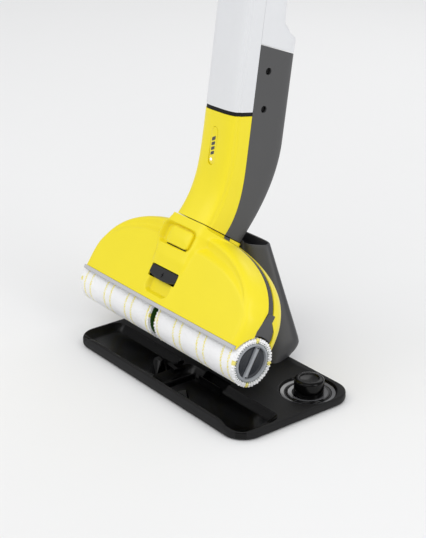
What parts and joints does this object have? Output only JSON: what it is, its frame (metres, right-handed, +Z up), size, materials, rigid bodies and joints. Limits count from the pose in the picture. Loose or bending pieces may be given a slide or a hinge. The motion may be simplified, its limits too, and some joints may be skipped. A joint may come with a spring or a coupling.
{
  "type": "wet dry floor scrubber",
  "caption": "Upright twin-roller wet and dry floor scrubber standing on its parking tray, with an arched head, a leaning stick and a lift-off machine.",
  "frame": {"origin": "on the floor under the middle of the roller axis, on the underside of the tray", "axes": "+Z up, -Y is the front of the machine, X runs along the rollers"},
  "size_m": [0.365, 0.3586, 1.2057],
  "materials": {
    "black": "black plastic, glossy in the sinks",
    "cap_grey": "blue grey moulded plastic",
    "cell_blue": "blue shrink sleeve",
    "core_green": "dark green plastic",
    "dark_grey": "finely textured dark grey plastic",
    "light_grey": "moulded light grey plastic, satin",
    "microfibre": "white microfibre pile with pale yellow stripes",
    "motor_can": "rolled steel can",
    "rubber": "black rubber",
    "steel": "turned steel",
    "strip_grey": "flat mid grey plastic",
    "tank": "smoky clear plastic",
    "yellow": "moulded yellow plastic with a soft satin gloss"
  },
  "bodies": {
    "floor_head": {"battery_pack": "cell_blue", "charging_socket": "black", "chassis_frame": "dark_grey", "dirty_water_tank": "dark_grey", "drive_belt": "rubber", "drive_leg_left": "black", "drive_leg_right": "black", "drive_motor": "motor_can", "head_screw_left": "steel", "head_screw_right": "steel", "motor_seat": "black", "rear_cover": "yellow", "roller_bearing_left": "steel", "roller_bearing_right": "steel", "side_plate_left": "dark_grey", "side_plate_right": "dark_grey", "swivel_socket": "dark_grey", "water_bar": "black", "water_hose": "rubber", "wringer_bar": "rubber"},
    "head_cover": {"button_spring": "steel", "flap_pin": "steel", "front_cover": "yellow", "wiper_strip": "strip_grey"},
    "parking_station": {"cap_post": "black", "dock_tower": "dark_grey", "dock_tray": "black", "foot_strip": "rubber"},
    "socket_flap": {"charge_flap": "dark_grey"},
    "roller_drive": {"drive_hub_left": "cap_grey", "drive_hub_right": "cap_grey", "drive_shaft": "steel", "roller_pulley": "cap_grey"},
    "left_roller": {"end_cap_left": "cap_grey", "roller_core_left": "core_green", "roller_sleeve_left": "microfibre"},
    "right_roller": {"end_cap_right": "cap_grey", "roller_core_right": "core_green", "roller_sleeve_right": "microfibre"},
    "stick": {"feed_hose": "rubber", "handle_grip": "dark_grey", "handle_tube": "steel", "housing_bolt_high": "steel", "housing_bolt_low": "steel", "lower_housing": "dark_grey", "neck_floor": "dark_grey", "neck_shell": "yellow", "seam_ring": "black", "status_window": "yellow", "swivel_spindle": "cap_grey", "tank_cradle": "light_grey", "upper_housing": "dark_grey", "upper_shell": "light_grey", "water_pump": "black"},
    "water_tank": {"fresh_water_tank": "tank"},
    "measuring_cap": {"measuring_cap": "black"},
    "motor_rotor": {"motor_pulley": "steel"},
    "switch": {"power_button": "yellow"},
    "cover_button": {"release_button": "yellow"},
    "filler_cap": {"tank_cap": "dark_grey"}
  },
  "joints": [
    {"name": "measuring_cap_lift", "type": "slide", "parent": "parking_station", "child": "measuring_cap", "axis": [0, 0, 1], "range_m": [0, 0.03]},
    {"name": "machine_lift", "type": "slide", "parent": "parking_station", "child": "floor_head", "axis": [0, 0, 1], "range_m": [0, 0.15]},
    {"name": "roller_spin", "type": "hinge", "parent": "floor_head", "child": "roller_drive", "pos_m": [0, 0, 0.0529], "axis": [1, 0, 0], "continuous": true},
    {"name": "motor_spin", "type": "hinge", "parent": "floor_head", "child": "motor_rotor", "pos_m": [0, 0.03691, 0.10762], "axis": [1, 0, 0], "continuous": true},
    {"name": "left_roller_pull", "type": "slide", "parent": "roller_drive", "child": "left_roller", "axis": [-1, 0, 0], "range_m": [0, 0.16]},
    {"name": "right_roller_pull", "type": "slide", "parent": "roller_drive", "child": "right_roller", "axis": [1, 0, 0], "range_m": [0, 0.16]},
    {"name": "cover_lift", "type": "slide", "parent": "floor_head", "child": "head_cover", "axis": [0, -0.829, 0.5592], "range_m": [0, 0.05]},
    {"name": "button_push", "type": "slide", "parent": "head_cover", "child": "cover_button", "axis": [0, 0.829, -0.5592], "range_m": [0, 0.003], "stiffness_N_per_m": 600},
    {"name": "flap_turn", "type": "hinge", "parent": "head_cover", "child": "socket_flap", "pos_m": [0, -0.00516, 0.11428], "axis": [-1, 0, 0], "range_deg": [0, 90]},
    {"name": "neck_swivel", "type": "hinge", "parent": "floor_head", "child": "stick", "pos_m": [0, 0.0574, 0.1523], "axis": [0, 0.5592, 0.829], "range_deg": [-40, 40]},
    {"name": "tank_slide", "type": "slide", "parent": "stick", "child": "water_tank", "axis": [0, 0.9898, -0.1426], "range_m": [0, 0.06]},
    {"name": "tank_cap_turn", "type": "hinge", "parent": "water_tank", "child": "filler_cap", "pos_m": [0, 0.20468, 0.61065], "axis": [0, 0.9898, -0.1426], "range_deg": [0, 90]},
    {"name": "power_push", "type": "slide", "parent": "stick", "child": "switch", "axis": [0, 0.9828, -0.1845], "range_m": [0, 0.002], "stiffness_N_per_m": 900}
  ],
  "couplings": [
    {"joint": "motor_spin", "follows": "roller_spin", "ratio": 2.4}
  ]
}
